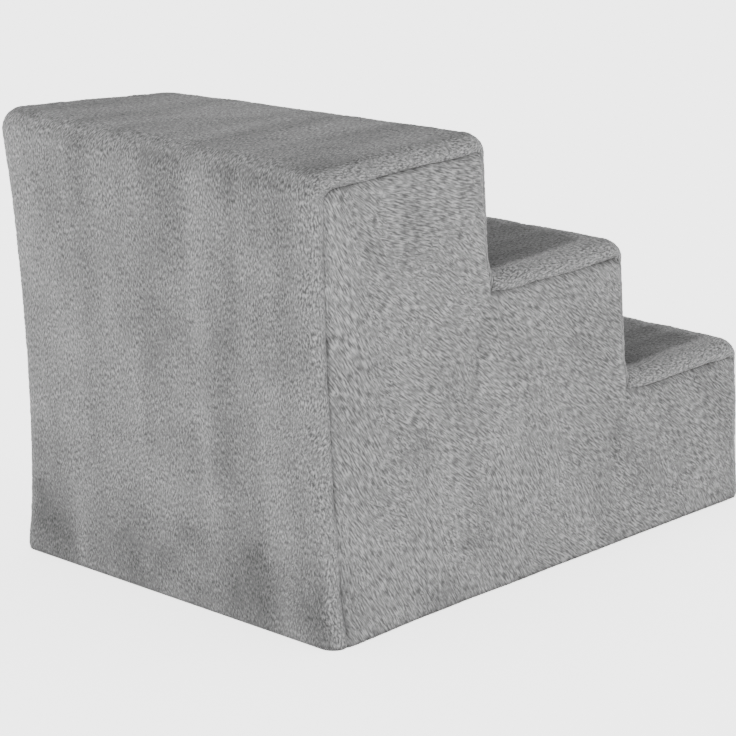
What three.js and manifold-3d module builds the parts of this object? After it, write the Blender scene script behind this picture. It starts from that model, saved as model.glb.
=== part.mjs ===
// Three-step foam pet stairs with a plush cover, in millimetres, +Z up.
// The origin is on the floor under the middle of the stairs. The low step is at +X,
// the tall rear face at -X, and the left and right sides are at +Y and -Y.

import * as THREE from 'three';
import { mergeVertices } from 'three/addons/utils/BufferGeometryUtils.js';
import Module from 'manifold-3d';

const wasm = await Module();
wasm.setup();

// Stairs
const LENGTH = 520;
const WIDTH = 404;
const HEIGHT = 400;
const TOP_DEPTH = 202;
const MIDDLE_DEPTH = 166;
const LOWER_TREAD_HEIGHT = 152;
const MIDDLE_TREAD_HEIGHT = 276;

// Plush cover
const PLUSH = 5;
const NOSE_RADIUS = 15;
const SIDE_EDGE_RADIUS = 12;
const SEAM_INSET = 16;
const RISER_SEAM_INSET = 6;
const SEAM_CORNER_RADIUS = 5;
const NOSE_STEPS = 6;
const SIDE_EDGE_STEPS = 4;

// Fits
const GAP = 0.3;
const OVERCUT = 1;
const OVERLAP = 0.5;
const MERGE_DISTANCE = 1e-4;

// Base
const BASE_THICKNESS = 3;
const SLOT_WIDTH = 12;
const LIP_THICKNESS = 1.5;
const LIP_TOP = 6.7;

// Zip round the rear and both sides of the base
const ZIP_INSET = 30;
const ZIP_CORNER_RADIUS = 45;
const ZIP_FRONT_X = 190;
const ZIP_CORNER_STEPS = 8;
const COIL_BOTTOM = 5.3;
const COIL_TOP = 6.7;
const COIL_WIDTH = 1.95;
const COIL_SPACING = 1.3;
const TAPE_BOTTOM = 7;
const TAPE_THICKNESS = 0.6;
const TAPE_WIDTH = 12.35;
const STOP_LENGTH = 3;
const TAPE_TAIL = 18;
const SLOT_TAIL = 28;
const CHANNEL_WIDTH = 30;
const CHANNEL_TOP = 9.6;

// Slider and its pull, as they lie with the zip closed
const SLIDER_LENGTH = 9;
const SLIDER_WIDTH = 8;
const SLIDER_TAIL_WIDTH = 6.4;
const SLIDER_CORNER = 1.4;
const PLATE_THICKNESS = 1;
const POST_SETBACK = 0.5;
const SLIDER_BOTTOM = 4;
const SLIDER_TOP = 8.9;
const FLANGE_THICKNESS = 0.9;
const POST_THICKNESS = 0.7;
const POST_LENGTH = 3;
const BAIL_LENGTH = 6.8;
const BAIL_WIDTH = 1.6;
const BAIL_THICKNESS = 0.9;
const BAIL_BOTTOM = 1.5;
const PULL_PIVOT_Z = 3.2;
const PULL_BAR_RADIUS = 0.55;
const PULL_LENGTH = 24;
const PULL_WIDTH = 5.6;
const PULL_THICKNESS = 1.1;
const PULL_NECK_TAPER = 0.5;
const PULL_BAR_STEPS = 16;
const PULL_HOLE_STEPS = 20;
const PULL_EYE_LENGTH = 5;
const PULL_EYE_WIDTH = 2.4;
const PULL_HOLE_RADIUS = 1.3;

const REAR_X = -LENGTH / 2;
const FRONT_X = LENGTH / 2;
const UPPER_RISER_X = REAR_X + TOP_DEPTH;
const MIDDLE_RISER_X = UPPER_RISER_X + MIDDLE_DEPTH;
const FOAM_INSET = PLUSH + GAP;
const ZIP_SIDE_Y = WIDTH / 2 - ZIP_INSET;
const ZIP_REAR_X = REAR_X + ZIP_INSET;
const SLIDER_X = ZIP_FRONT_X - SLIDER_LENGTH / 2;

const COLOURS = {
  plush: { color: 0x8f8f8f, roughness: 0.95, metalness: 0 },
  foam: { color: 0xe9e4d2, roughness: 0.9, metalness: 0 },
  base: { color: 0x4a4b4e, roughness: 0.85, metalness: 0 },
  tape: { color: 0x77787a, roughness: 0.8, metalness: 0 },
  coil: { color: 0x6d6e70, roughness: 0.45, metalness: 0 },
  metal: { color: 0xb4b5b8, roughness: 0.3, metalness: 1 },
};

function toSolid(geometry) {
  const bare = new THREE.BufferGeometry();
  bare.setAttribute('position', geometry.getAttribute('position').clone());
  if (geometry.index) bare.setIndex(geometry.index.clone());
  const merged = mergeVertices(bare, MERGE_DISTANCE);
  const vertProperties = new Float32Array(merged.getAttribute('position').array);
  const triVerts = new Uint32Array(merged.index.array);
  return new wasm.Manifold(new wasm.Mesh({ numProp: 3, vertProperties, triVerts }));
}

function toGeometry(solid) {
  const mesh = solid.getMesh();
  const geometry = new THREE.BufferGeometry();
  geometry.setAttribute('position', new THREE.BufferAttribute(mesh.vertProperties, 3));
  geometry.setIndex(new THREE.BufferAttribute(mesh.triVerts, 1));
  geometry.computeVertexNormals();
  return geometry;
}

function box(low, high) {
  const size = new THREE.Vector3(...high).sub(new THREE.Vector3(...low));
  const middle = new THREE.Vector3(...high).add(new THREE.Vector3(...low)).multiplyScalar(0.5);
  return toSolid(new THREE.BoxGeometry(size.x, size.y, size.z).translate(middle.x, middle.y, middle.z));
}

// A plan outline in X and Y, raised from one height to another.
function plate(shape, bottom, top) {
  const options = { depth: top - bottom, bevelEnabled: false, curveSegments: ZIP_CORNER_STEPS };
  return toSolid(new THREE.ExtrudeGeometry(shape, options).translate(0, 0, bottom));
}

function arc(centreX, centreZ, radius, startAngle, endAngle, steps) {
  return Array.from({ length: steps + 1 }, (_, step) => {
    const angle = startAngle + ((endAngle - startAngle) * step) / steps;
    return new THREE.Vector2(centreX + radius * Math.cos(angle), centreZ + radius * Math.sin(angle));
  });
}

// The stairs seen from the right side, drawn in from the outside by `inset`,
// or by `riserInset` at the risers, and standing on `floor`.
function stairOutline({ inset = 0, riserInset = inset, radius = NOSE_RADIUS - inset, floor = 0 }) {
  const nose = (riserX, treadZ) => arc(
    riserX - riserInset - radius, treadZ - inset - radius, radius, Math.PI / 2, 0, NOSE_STEPS);
  const rearX = REAR_X + inset;
  return [
    new THREE.Vector2(rearX, floor),
    ...arc(rearX + radius, HEIGHT - inset - radius, radius, Math.PI, Math.PI / 2, NOSE_STEPS),
    ...nose(UPPER_RISER_X, HEIGHT),
    new THREE.Vector2(UPPER_RISER_X - riserInset, MIDDLE_TREAD_HEIGHT - inset),
    ...nose(MIDDLE_RISER_X, MIDDLE_TREAD_HEIGHT),
    new THREE.Vector2(MIDDLE_RISER_X - riserInset, LOWER_TREAD_HEIGHT - inset),
    ...nose(FRONT_X, LOWER_TREAD_HEIGHT),
    new THREE.Vector2(FRONT_X - riserInset, floor),
  ];
}

// A closed solid through a row of outlines, each at its own Y, all with as many points.
function loft(sections) {
  const count = sections[0].outline.length;
  const positions = sections.flatMap(({ outline, y }) => outline.flatMap((p) => [p.x, y, p.y]));
  const triangles = [];
  for (let ring = 0; ring + 1 < sections.length; ring += 1) {
    for (let point = 0; point < count; point += 1) {
      const next = (point + 1) % count;
      const [a, b] = [ring * count + point, ring * count + next];
      triangles.push(a, b, a + count, b, b + count, a + count);
    }
  }
  const last = (sections.length - 1) * count;
  const capOf = (section) => THREE.ShapeUtils.triangulateShape(section.outline, []);
  const facing = (outline, [a, b, c]) => Math.sign(
    outline[b].clone().sub(outline[a]).cross(outline[c].clone().sub(outline[a])));
  for (const cap of capOf(sections[0])) {
    const [a, b, c] = cap;
    triangles.push(...(facing(sections[0].outline, cap) > 0 ? [a, b, c] : [a, c, b]));
  }
  for (const cap of capOf(sections.at(-1))) {
    const [a, b, c] = cap.map((point) => point + last);
    triangles.push(...(facing(sections.at(-1).outline, cap) > 0 ? [a, c, b] : [a, b, c]));
  }
  const geometry = new THREE.BufferGeometry();
  geometry.setAttribute('position', new THREE.Float32BufferAttribute(positions, 3));
  geometry.setIndex(triangles);
  return toSolid(geometry);
}

// The stairs as one body with rounded side edges, drawn in from the outside by `inset`.
function stairBody({ inset = 0, floor = 0 }) {
  const edgeRadius = SIDE_EDGE_RADIUS - inset;
  const edge = Array.from({ length: SIDE_EDGE_STEPS + 1 }, (_, step) => {
    const angle = (Math.PI / 2) * (step / SIDE_EDGE_STEPS);
    return {
      outline: stairOutline({ inset: inset + edgeRadius * (1 - Math.sin(angle)), floor }),
      y: WIDTH / 2 - inset - edgeRadius * (1 - Math.cos(angle)),
    };
  });
  const rightEdge = edge.map(({ outline, y }) => ({ outline, y: -y }));
  return loft([...rightEdge, ...edge.reverse()]);
}

// The area that a side panel is cut to, as a block reaching from one Y to another.
function sidePanelBlock(grow, fromY, toY) {
  const outline = stairOutline({
    inset: SEAM_INSET - grow,
    riserInset: RISER_SEAM_INSET - grow,
    radius: SEAM_CORNER_RADIUS + grow,
    floor: -OVERCUT,
  });
  return loft([{ outline, y: fromY }, { outline, y: toY }]);
}

function makeCover() {
  const cavity = stairBody({ inset: PLUSH, floor: -OVERCUT });
  const shell = stairBody({}).subtract(cavity);
  const outsideY = WIDTH / 2 + OVERCUT;
  const panelY = WIDTH / 2 - PLUSH - GAP;
  const right = shell.intersect(sidePanelBlock(0, -outsideY, -panelY));
  const left = shell.intersect(sidePanelBlock(0, panelY, outsideY));
  const band = shell
    .subtract(sidePanelBlock(GAP, -outsideY, -panelY))
    .subtract(sidePanelBlock(GAP, panelY, outsideY));
  const stepBlock = (riserBehindX, riserX, bottom, treadZ, grow) => box(
    [riserBehindX - SIDE_EDGE_RADIUS - grow, -outsideY, bottom - grow],
    [riserX + OVERCUT, outsideY, treadZ + grow]);
  const middle = [UPPER_RISER_X, MIDDLE_RISER_X, LOWER_TREAD_HEIGHT + GAP, MIDDLE_TREAD_HEIGHT];
  const lower = [MIDDLE_RISER_X, FRONT_X, -OVERCUT, LOWER_TREAD_HEIGHT];
  return {
    cover_back_top_panel: band.subtract(stepBlock(...middle, GAP)).subtract(stepBlock(...lower, GAP)),
    cover_middle_step_panel: band.intersect(stepBlock(...middle, 0)),
    cover_lower_step_panel: band.intersect(stepBlock(...lower, 0)),
    cover_side_right: right,
    cover_side_left: left,
  };
}

// The part of the base inside the zip's line, moved outward by `offset` and ending at `frontX`.
function insideZip(offset, frontX) {
  const radius = ZIP_CORNER_RADIUS + offset;
  const sideY = ZIP_SIDE_Y + offset;
  const cornerX = ZIP_REAR_X + ZIP_CORNER_RADIUS;
  const cornerY = ZIP_SIDE_Y - ZIP_CORNER_RADIUS;
  const shape = new THREE.Shape();
  shape.moveTo(frontX, -sideY);
  shape.lineTo(frontX, sideY);
  shape.lineTo(cornerX, sideY);
  shape.absarc(cornerX, cornerY, radius, Math.PI / 2, Math.PI, false);
  shape.absarc(cornerX, -cornerY, radius, Math.PI, Math.PI * 1.5, false);
  return shape;
}

// A strip that follows the zip, between two offsets from its line and two heights.
function zipStrip(innerOffset, outerOffset, bottom, top, frontX) {
  const outer = plate(insideZip(outerOffset, frontX), bottom, top);
  return outer.subtract(
    plate(insideZip(innerOffset, frontX + OVERCUT), bottom - OVERCUT, top + OVERCUT));
}

function makeBase() {
  const halfSlot = SLOT_WIDTH / 2;
  const slotFrontX = ZIP_FRONT_X + SLOT_TAIL;
  const [below, above] = [-OVERCUT, BASE_THICKNESS + OVERCUT];
  const floorBlock = box([REAR_X, -WIDTH / 2, below], [FRONT_X, WIDTH / 2, BASE_THICKNESS]);
  const sheet = stairBody({ inset: FOAM_INSET, floor: 0 }).intersect(floorBlock);
  const slot = zipStrip(-halfSlot, halfSlot, below, above, slotFrontX);
  const seam = zipStrip(-GAP, GAP, below, above, FRONT_X);
  const inside = plate(insideZip(0, FRONT_X), below, above);
  const cut = sheet.subtract(slot).subtract(seam);
  const lipBottom = BASE_THICKNESS - OVERLAP;
  const innerLip = zipStrip(-halfSlot - LIP_THICKNESS, -halfSlot, lipBottom, LIP_TOP, slotFrontX);
  const outerLip = zipStrip(halfSlot, halfSlot + LIP_THICKNESS, lipBottom, LIP_TOP, slotFrontX);
  return {
    base_panel: cut.intersect(inside).add(innerLip),
    base_border: cut.subtract(inside).add(outerLip),
  };
}

function makeFoam() {
  const halfChannel = CHANNEL_WIDTH / 2;
  const channel = zipStrip(-halfChannel, halfChannel, 0, CHANNEL_TOP, ZIP_FRONT_X + SLOT_TAIL + GAP);
  const foam = stairBody({ inset: FOAM_INSET, floor: BASE_THICKNESS + GAP }).subtract(channel);
  const slab = (bottom, top) => foam.intersect(
    box([REAR_X, -WIDTH / 2, bottom], [FRONT_X, WIDTH / 2, top]));
  const lowerTop = LOWER_TREAD_HEIGHT - FOAM_INSET;
  const middleTop = MIDDLE_TREAD_HEIGHT - FOAM_INSET;
  return {
    foam_lower_slab: slab(0, lowerTop),
    foam_middle_slab: slab(lowerTop + GAP, middleTop),
    foam_upper_slab: slab(middleTop + GAP, HEIGHT),
  };
}

function makeZipTrack() {
  const near = COIL_SPACING / 2;
  const coilFar = near + COIL_WIDTH;
  const tapeFar = near + TAPE_WIDTH;
  const tapeTop = TAPE_BOTTOM + TAPE_THICKNESS;
  const tapeFrontX = ZIP_FRONT_X + TAPE_TAIL;
  return {
    zip_tape_outer: zipStrip(near, tapeFar, TAPE_BOTTOM, tapeTop, tapeFrontX),
    zip_tape_inner: zipStrip(-tapeFar, -near, TAPE_BOTTOM, tapeTop, tapeFrontX),
    zip_coil_outer: zipStrip(near, coilFar, COIL_BOTTOM, COIL_TOP, ZIP_FRONT_X),
    zip_coil_inner: zipStrip(-coilFar, -near, COIL_BOTTOM, COIL_TOP, ZIP_FRONT_X),
  };
}

// The stops sit at the coil's ends: a pair where the zip closes, one across both where it opens.
function makeStops() {
  const near = COIL_SPACING / 2;
  const far = near + COIL_WIDTH;
  const stop = (fromY, toY) => box(
    [ZIP_FRONT_X + GAP, fromY, COIL_BOTTOM - GAP],
    [ZIP_FRONT_X + GAP + STOP_LENGTH, toY, COIL_TOP]);
  return {
    zip_top_stop_outer: stop(-ZIP_SIDE_Y - far, -ZIP_SIDE_Y - near),
    zip_top_stop_inner: stop(-ZIP_SIDE_Y + near, -ZIP_SIDE_Y + far),
    zip_bottom_stop: stop(ZIP_SIDE_Y - far, ZIP_SIDE_Y + far),
  };
}

// The slider's plan: broad where the open coils enter it at -X, narrow where they leave closed.
function sliderPlan() {
  const half = SLIDER_LENGTH / 2;
  const broad = SLIDER_WIDTH / 2;
  const narrow = SLIDER_TAIL_WIDTH / 2;
  const shape = new THREE.Shape();
  shape.moveTo(-half + SLIDER_CORNER, -broad);
  shape.lineTo(half - SLIDER_CORNER, -narrow);
  shape.quadraticCurveTo(half, -narrow, half, -narrow + SLIDER_CORNER);
  shape.lineTo(half, narrow - SLIDER_CORNER);
  shape.quadraticCurveTo(half, narrow, half - SLIDER_CORNER, narrow);
  shape.lineTo(-half + SLIDER_CORNER, broad);
  shape.quadraticCurveTo(-half, broad, -half, broad - SLIDER_CORNER);
  shape.lineTo(-half, -broad + SLIDER_CORNER);
  shape.quadraticCurveTo(-half, -broad, -half + SLIDER_CORNER, -broad);
  return shape;
}

function makeSlider() {
  const half = SLIDER_LENGTH / 2;
  const floorTop = SLIDER_BOTTOM + PLATE_THICKNESS;
  const roofBottom = SLIDER_TOP - PLATE_THICKNESS;
  const roof = plate(sliderPlan(), roofBottom, SLIDER_TOP);
  const tray = plate(sliderPlan(), SLIDER_BOTTOM, COIL_TOP);
  const trackHalf = SLIDER_TAIL_WIDTH / 2 - FLANGE_THICKNESS / 2;
  const track = box(
    [-half - OVERCUT, -trackHalf, floorTop], [half + OVERCUT, trackHalf, SLIDER_TOP]);
  const postRear = -half + POST_SETBACK;
  const post = box(
    [postRear, -POST_THICKNESS / 2, floorTop - OVERLAP],
    [postRear + POST_LENGTH, POST_THICKNESS / 2, roofBottom + OVERLAP]);
  const bail = box(
    [-BAIL_LENGTH / 2, -BAIL_WIDTH / 2, BAIL_BOTTOM],
    [BAIL_LENGTH / 2, BAIL_WIDTH / 2, SLIDER_BOTTOM + OVERLAP]);
  const eye = box(
    [-BAIL_LENGTH / 2 + BAIL_THICKNESS, -BAIL_WIDTH, BAIL_BOTTOM + BAIL_THICKNESS],
    [BAIL_LENGTH / 2 - BAIL_THICKNESS, BAIL_WIDTH, SLIDER_BOTTOM]);
  return tray.subtract(track).add(roof).add(post).add(bail.subtract(eye));
}

// The pull's tab points to -X from its pivot, which is the bar through the slider's bail.
function makePull() {
  const bar = toSolid(new THREE.CylinderGeometry(
    PULL_BAR_RADIUS, PULL_BAR_RADIUS, PULL_WIDTH - 2 * PULL_NECK_TAPER, PULL_BAR_STEPS));
  const radius = PULL_WIDTH / 2;
  const outline = new THREE.Shape();
  outline.moveTo(0, -radius + PULL_NECK_TAPER);
  outline.lineTo(0, radius - PULL_NECK_TAPER);
  outline.lineTo(-PULL_LENGTH + radius, radius);
  outline.absarc(-PULL_LENGTH + radius, 0, radius, Math.PI / 2, Math.PI * 1.5, false);
  const tab = plate(outline, -PULL_THICKNESS / 2, PULL_THICKNESS / 2);
  const window = box(
    [-PULL_EYE_LENGTH, -PULL_EYE_WIDTH / 2, -PULL_THICKNESS],
    [OVERCUT, PULL_EYE_WIDTH / 2, PULL_THICKNESS]);
  const hole = toSolid(new THREE.CylinderGeometry(
    PULL_HOLE_RADIUS, PULL_HOLE_RADIUS, 2 * PULL_THICKNESS, PULL_HOLE_STEPS)
    .rotateX(Math.PI / 2).translate(-PULL_LENGTH + radius, 0, 0));
  return tab.subtract(window).subtract(hole).add(bar);
}

function named(name, solid, look) {
  const mesh = new THREE.Mesh(toGeometry(solid), new THREE.MeshStandardMaterial(COLOURS[look]));
  mesh.name = name;
  return mesh;
}

function addAll(group, solids, look) {
  for (const [name, solid] of Object.entries(solids)) {
    group.add(named(name, solid, look));
  }
}

const stairs = new THREE.Group();
addAll(stairs, makeFoam(), 'foam');
addAll(stairs, makeCover(), 'plush');
addAll(stairs, makeBase(), 'base');

const track = makeZipTrack();
addAll(stairs, { zip_tape_outer: track.zip_tape_outer, zip_tape_inner: track.zip_tape_inner }, 'tape');
addAll(stairs, { zip_coil_outer: track.zip_coil_outer, zip_coil_inner: track.zip_coil_inner }, 'coil');
addAll(stairs, makeStops(), 'metal');

const sliderGroup = new THREE.Group();
sliderGroup.position.set(SLIDER_X, -ZIP_SIDE_Y, 0);
sliderGroup.add(named('zip_slider', makeSlider(), 'metal'));
const pull = named('zip_pull', makePull(), 'metal');
pull.position.set(0, 0, PULL_PIVOT_Z);
sliderGroup.add(pull);
stairs.add(sliderGroup);

export default stairs;
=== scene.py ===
"""Looks for a set of three-step foam pet stairs in a plush cover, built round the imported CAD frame."""

import math

import bmesh
import bpy
import numpy as np
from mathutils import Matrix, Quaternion, Vector


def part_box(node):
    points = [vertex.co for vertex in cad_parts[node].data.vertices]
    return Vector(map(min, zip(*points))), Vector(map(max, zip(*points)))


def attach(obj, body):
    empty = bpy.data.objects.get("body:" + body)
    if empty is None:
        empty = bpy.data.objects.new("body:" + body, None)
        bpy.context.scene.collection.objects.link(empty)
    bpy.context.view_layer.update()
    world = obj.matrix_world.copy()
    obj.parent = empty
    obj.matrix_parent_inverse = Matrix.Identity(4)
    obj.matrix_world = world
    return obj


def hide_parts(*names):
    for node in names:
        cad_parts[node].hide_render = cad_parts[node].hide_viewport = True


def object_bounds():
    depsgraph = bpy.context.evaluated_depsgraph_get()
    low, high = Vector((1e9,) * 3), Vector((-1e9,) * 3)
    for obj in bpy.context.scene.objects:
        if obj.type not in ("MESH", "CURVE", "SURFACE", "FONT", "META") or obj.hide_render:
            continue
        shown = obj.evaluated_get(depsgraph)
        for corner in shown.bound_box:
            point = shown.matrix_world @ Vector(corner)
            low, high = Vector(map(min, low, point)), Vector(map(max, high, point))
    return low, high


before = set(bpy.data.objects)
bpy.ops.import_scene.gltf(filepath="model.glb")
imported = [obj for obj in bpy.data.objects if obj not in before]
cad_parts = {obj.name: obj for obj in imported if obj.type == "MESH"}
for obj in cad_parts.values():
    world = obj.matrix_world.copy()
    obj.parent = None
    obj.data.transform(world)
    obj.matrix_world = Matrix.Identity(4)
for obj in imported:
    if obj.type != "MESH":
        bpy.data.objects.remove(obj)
cad_low, cad_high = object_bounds()

MM = 0.001

# sizes, from the frame
REAR_X, FRONT_X = cad_low.x, cad_high.x
SIDE_Y = cad_high.y
HEIGHT = cad_high.z
UPPER_RISER_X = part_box("cover_back_top_panel")[1].x
MIDDLE_RISER_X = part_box("cover_middle_step_panel")[1].x
MIDDLE_TREAD_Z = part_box("cover_middle_step_panel")[1].z
LOWER_TREAD_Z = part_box("cover_lower_step_panel")[1].z
SEAM_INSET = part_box("cover_side_right")[0].x - REAR_X
RISER_SEAM_INSET = FRONT_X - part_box("cover_side_right")[1].x
FOAM_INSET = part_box("foam_lower_slab")[0].x - REAR_X
ZIP_FRONT_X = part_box("zip_coil_outer")[1].x
ZIP_SIDE_Y = (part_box("zip_bottom_stop")[0].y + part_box("zip_bottom_stop")[1].y) / 2
ZIP_REAR_X = REAR_X + SIDE_Y - ZIP_SIDE_Y
TAPE_FRONT_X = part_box("zip_tape_outer")[1].x
TAPE_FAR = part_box("zip_tape_outer")[1].y - ZIP_SIDE_Y
TAPE_NEAR = ZIP_SIDE_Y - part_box("zip_tape_inner")[1].y
TAPE_BOTTOM, TAPE_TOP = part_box("zip_tape_outer")[0].z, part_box("zip_tape_outer")[1].z
COIL_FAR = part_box("zip_coil_outer")[1].y - ZIP_SIDE_Y
COIL_BOTTOM, COIL_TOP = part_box("zip_coil_outer")[0].z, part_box("zip_coil_outer")[1].z
INNER_CORNERS = ((UPPER_RISER_X, MIDDLE_TREAD_Z), (MIDDLE_RISER_X, LOWER_TREAD_Z))

# the cover's cloth
NOSE_RADIUS = 21 * MM
SIDE_EDGE_RADIUS = 14 * MM
SEAM_CORNER_RADIUS = 12 * MM
FOOT_REACH = 9 * MM
CLOTH_THICKNESS = 3 * MM
INNER_COLUMNS = 9
TOE_DEPTH = 7 * MM
SEAM_DEPTH = 1.5 * MM
SEAM_WIDTH = 4.6 * MM
SEAM_PILE = 0.3
SEAM_FADE = 2 * MM
END_FADE = 3 * MM
PILE_HEIGHT = 1.1 * MM
TUFT_LENGTH = 6.5 * MM
TUFT_WIDTH = 3.2 * MM
TUFT_PITCH = 2.3 * MM
TUFT_SPREAD = math.radians(11)
SIDE_STEP = 1.4 * MM
BACK_STEP = 2.0 * MM
STEP_STEP = 1.6 * MM

# how the stuffed cover lies
FACE_CROWN = 3 * MM
TOP_CROWN = 2 * MM
WAIST = 6 * MM
TOE_BULGE = 4 * MM
LEFT_WAIST = 4 * MM
LEFT_TOE_BULGE = 5 * MM
LEFT_TOP_BULGE = 6 * MM
FORWARD_LEAN = 4 * MM
REAR_CORNER_RISE = 8 * MM
FRONT_CORNER_DROP = 11 * MM
CREASE_DEPTH = 2.2 * MM
CREASE_WIDTH = 9 * MM
CREASE_SLOPE = 0.25
INNER_FILLET = 3.2 * MM

# how light the plush is
# Painted shade in the seam grooves.
SEAM_SHADE = 0.3
# Painted shade along the cover's foot, where it meets the floor.
HEM_SHADE = 0.6
HEM_HEIGHT = 2.5 * MM
# The top and treads are darker than the upright faces, partly from their nap and partly as painted
# shade.
TOP_TONE = 0.8
TREAD_TONE = 0.41
NOSE_TONE = 0.9
REAR_TONE = 0.88
SIDE_TONE = 0.98
INSIDE_TONE = 0.8
BRUSH_WIDTH = 30 * MM
STRIPES = 0.24
BLOTCHES = 0.17
# A painted highlight down the rear face's rounded right corner.
PAINTED_CORNER_HIGHLIGHT = 0.17
# Painted shade along the rear face's toe, near the floor.
TOE_SHADE = 0.42
TOP_BRUSH = 0.34
SIDE_MARKS = 0.14
SMUDGES = 0.5
# Painted shade towards the side panels' front end.
FRONT_SHADE = 0.16
# Painted shade down the creases below the inner corners.
CREASE_SHADE = 0.22
FIBRE_SCALE = 720
NAP_ANGLES = (-30, -10, 10, 30, 50, 70)
NAP_BLEND = 3
NAP_JITTER = math.radians(40)
# Painted shade between the tufts: the plush is darker where its pile is low.
PLUSH_SHADED_BY_PILE = [(0.0, 0.225), (0.4, 0.26), (1.0, 0.315)]
PLUSH_BY_FIBRE = [(0.35, 0.24), (0.5, 0.53), (0.64, 0.98)]

# foam, zip and base
FOAM_STEP = 8 * MM
GROOVE_STEP = 4 * MM
GROOVE_AHEAD = 24 * MM
FOAM_LUMPS = 12 * MM
ZIP_CORNER_RADIUS = 45 * MM
TAPE_STEP = 4 * MM
TAPE_ROWS = 6
COIL_PITCH = 1.6 * MM
COIL_WIRE = 0.32 * MM
COIL_HEAD = 0.35 * MM
COIL_TURN_STEPS = 7
BASE_LIFT = 0.8 * MM
BASE_RIPPLE = 0.25 * MM
RIM_GROWTH = 1.8 * MM
BASE_STEP = 12 * MM
DOT_PITCH = 10 * MM
DOT_RADIUS = 1.9 * MM
DOT_SIDES = 8
DOT_MARGIN = 8 * MM
DOT_ROOT = 0.2 * MM

# stage
SKY_STRENGTH = 1.5
SKY_DIM = 0.35
FLOOR_GLOW = 2.4
FLOOR_HALF = 12
OVERHEAD_LIGHT = 3.8
REAR_LIGHT = 5
SIDE_LIGHT = 7
SOFTBOX_SIZE = 1.6

# camera
VIEW_TARGET = Vector((-0.018, -0.001, 0.1506))
VIEW_FROM = Vector((-0.008, 0.0, 0.2))
VIEW_ANGLE = math.radians(47.2)
VIEW_ELEVATION = math.radians(15.2)
VIEW_DISTANCE = 2.85
VIEW_ROLL = math.radians(-2.8)
LENS = 155


def add_object(name, data):
    piece = bpy.data.objects.new(name, data)
    bpy.context.scene.collection.objects.link(piece)
    return piece


def make_camera():
    data = bpy.data.cameras.new("camera")
    data.lens = LENS
    data.clip_end = 50
    camera = add_object("camera", data)
    back = Vector((
        -math.cos(VIEW_ANGLE) * math.cos(VIEW_ELEVATION),
        -math.sin(VIEW_ANGLE) * math.cos(VIEW_ELEVATION),
        math.sin(VIEW_ELEVATION),
    ))
    camera.location = VIEW_FROM + back * VIEW_DISTANCE
    aim = (VIEW_TARGET - camera.location).to_track_quat("-Z", "Y")
    camera.rotation_mode = "QUATERNION"
    camera.rotation_quaternion = aim @ Quaternion((0, 0, 1), VIEW_ROLL)
    bpy.context.scene.camera = camera


# noise and tufts
def smooth_noise(u, v, seed):
    """Noise from -1 to 1, with about one bump for each unit of u and v."""
    table = np.random.default_rng(seed).uniform(-1, 1, (128, 128))
    iu, iv = np.floor(u).astype(int), np.floor(v).astype(int)
    fu, fv = u - iu, v - iv
    fu, fv = fu * fu * (3 - 2 * fu), fv * fv * (3 - 2 * fv)

    def corner(a, b):
        return table[(iu + a) % 128, (iv + b) % 128]

    low = corner(0, 0) * (1 - fu) + corner(1, 0) * fu
    high = corner(0, 1) * (1 - fu) + corner(1, 1) * fu
    return low * (1 - fv) + high * fv


def fractal_noise(u, v, seed, octaves=3):
    """Smooth noise with finer and weaker noise added, each octave at half the size."""
    return sum(smooth_noise(u * 2**k, v * 2**k, seed + k) / 2**k for k in range(octaves)) / 1.5


def tufts(u, v, angle_at, seed):
    """Height from 0 to 1 of overlapping tufts that each lie along their own direction.

    angle_at(u, v) gives the direction, in radians from the v axis towards the u axis.
    """
    size = 256
    rng = np.random.default_rng(seed)
    jitter_u, jitter_v = rng.uniform(-0.5, 0.5, (2, size, size))
    turn = rng.uniform(-TUFT_SPREAD, TUFT_SPREAD, (size, size))
    tall = rng.uniform(0.45, 1.0, (size, size))
    cell_u, cell_v = np.floor(u / TUFT_PITCH).astype(int), np.floor(v / TUFT_PITCH).astype(int)
    height = np.zeros_like(u)
    for du in range(-2, 3):
        for dv in range(-2, 3):
            iu, iv = cell_u + du, cell_v + dv
            pick = (iu % size, iv % size)
            centre_u = (iu + 0.5 + jitter_u[pick]) * TUFT_PITCH
            centre_v = (iv + 0.5 + jitter_v[pick]) * TUFT_PITCH
            angle = angle_at(centre_u, centre_v) + turn[pick]
            sine, cosine = np.sin(angle), np.cos(angle)
            along = (u - centre_u) * sine + (v - centre_v) * cosine
            across = (u - centre_u) * cosine - (v - centre_v) * sine
            t = along / TUFT_LENGTH + 0.5
            lift = np.minimum(t / 0.75, (1 - t) / 0.25).clip(0, 1)
            height = np.maximum(height, tall[pick] * lift * np.exp(-((across / TUFT_WIDTH * 2) ** 2)))
    return height


# the soft shape
def bump(value, low, high):
    """0 at both ends and 1 in the middle."""
    t = ((value - low) / (high - low)).clip(0, 1)
    return 4 * t * (1 - t)


def smoothstep(value, low, high):
    t = ((value - low) / (high - low)).clip(0, 1)
    return t * t * (3 - 2 * t)


def near(value, place, reach):
    return np.exp(-(((value - place) / reach) ** 2))


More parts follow.
